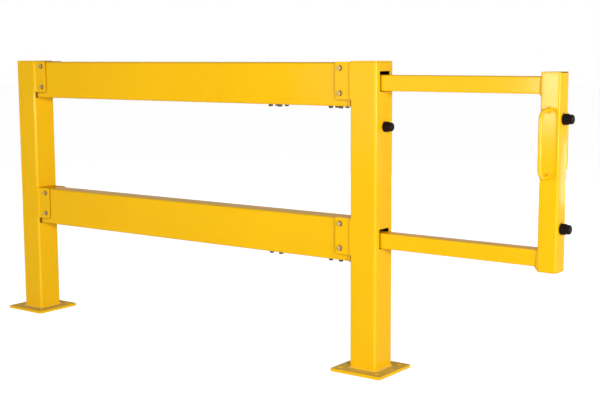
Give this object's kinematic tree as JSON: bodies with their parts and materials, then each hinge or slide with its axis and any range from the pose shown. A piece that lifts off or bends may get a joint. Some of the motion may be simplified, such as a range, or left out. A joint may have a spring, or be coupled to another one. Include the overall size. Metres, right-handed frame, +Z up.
{
  "type": "industrial guard rail with sliding gate",
  "caption": "Guard rail of box rails between square posts on base plates, with a gate whose arms telescope out of the rails to close a walkway.",
  "frame": {"origin": "middle of the left post's foot, on the underside of its base plate, at floor level", "axes": "+X along the rails from the left post to the gate, -Y the front with the bolt heads, +Z up"},
  "size_m": [2.3743, 0.19, 1],
  "materials": {
    "yellow_powder_coat": "glossy safety yellow powder coat",
    "zinc_plated_steel": "bright zinc plating",
    "natural_nylon": "off-white machined plastic",
    "black_rubber": "moulded black rubber, slight sheen"
  },
  "bodies": {
    "fixed_rail": {"left_post": "yellow_powder_coat", "left_post_cap": "yellow_powder_coat", "left_base_plate": "yellow_powder_coat", "gate_post": "yellow_powder_coat", "gate_post_cap": "yellow_powder_coat", "gate_base_plate": "yellow_powder_coat", "upper_rail": "yellow_powder_coat", "lower_rail": "yellow_powder_coat", "upper_left_bracket": "yellow_powder_coat", "upper_gate_bracket": "yellow_powder_coat", "lower_left_bracket": "yellow_powder_coat", "lower_gate_bracket": "yellow_powder_coat", "upper_left_top_bolt": "zinc_plated_steel", "upper_left_bottom_bolt": "zinc_plated_steel", "upper_gate_top_bolt": "zinc_plated_steel", "upper_gate_bottom_bolt": "zinc_plated_steel", "lower_left_top_bolt": "zinc_plated_steel", "lower_left_bottom_bolt": "zinc_plated_steel", "lower_gate_top_bolt": "zinc_plated_steel", "lower_gate_bottom_bolt": "zinc_plated_steel", "upper_left_top_nut": "zinc_plated_steel", "upper_left_bottom_nut": "zinc_plated_steel", "upper_gate_top_nut": "zinc_plated_steel", "upper_gate_bottom_nut": "zinc_plated_steel", "lower_left_top_nut": "zinc_plated_steel", "lower_left_bottom_nut": "zinc_plated_steel", "lower_gate_top_nut": "zinc_plated_steel", "lower_gate_bottom_nut": "zinc_plated_steel", "upper_outer_guide": "natural_nylon", "upper_inner_guide": "natural_nylon", "lower_outer_guide": "natural_nylon", "lower_inner_guide": "natural_nylon", "upper_outer_guide_screw_1": "zinc_plated_steel", "upper_outer_guide_screw_2": "zinc_plated_steel", "upper_outer_guide_screw_3": "zinc_plated_steel", "upper_outer_guide_screw_4": "zinc_plated_steel", "upper_inner_guide_screw_1": "zinc_plated_steel", "upper_inner_guide_screw_2": "zinc_plated_steel", "upper_inner_guide_screw_3": "zinc_plated_steel", "upper_inner_guide_screw_4": "zinc_plated_steel", "lower_outer_guide_screw_1": "zinc_plated_steel", "lower_outer_guide_screw_2": "zinc_plated_steel", "lower_outer_guide_screw_3": "zinc_plated_steel", "lower_outer_guide_screw_4": "zinc_plated_steel", "lower_inner_guide_screw_1": "zinc_plated_steel", "lower_inner_guide_screw_2": "zinc_plated_steel", "lower_inner_guide_screw_3": "zinc_plated_steel", "lower_inner_guide_screw_4": "zinc_plated_steel", "post_bumper": "black_rubber"},
    "gate": {"upper_arm": "yellow_powder_coat", "lower_arm": "yellow_powder_coat", "upper_arm_stop": "zinc_plated_steel", "lower_arm_stop": "zinc_plated_steel", "end_tube": "yellow_powder_coat", "end_tube_top_cap": "yellow_powder_coat", "end_tube_bottom_cap": "yellow_powder_coat", "front_handle": "yellow_powder_coat", "rear_handle": "yellow_powder_coat", "upper_gate_bumper": "black_rubber", "lower_gate_bumper": "black_rubber"}
  },
  "joints": [
    {"name": "gate_slide", "type": "slide", "parent": "fixed_rail", "child": "gate", "axis": [1, 0, 0], "range_m": [-0.51, 0]}
  ]
}
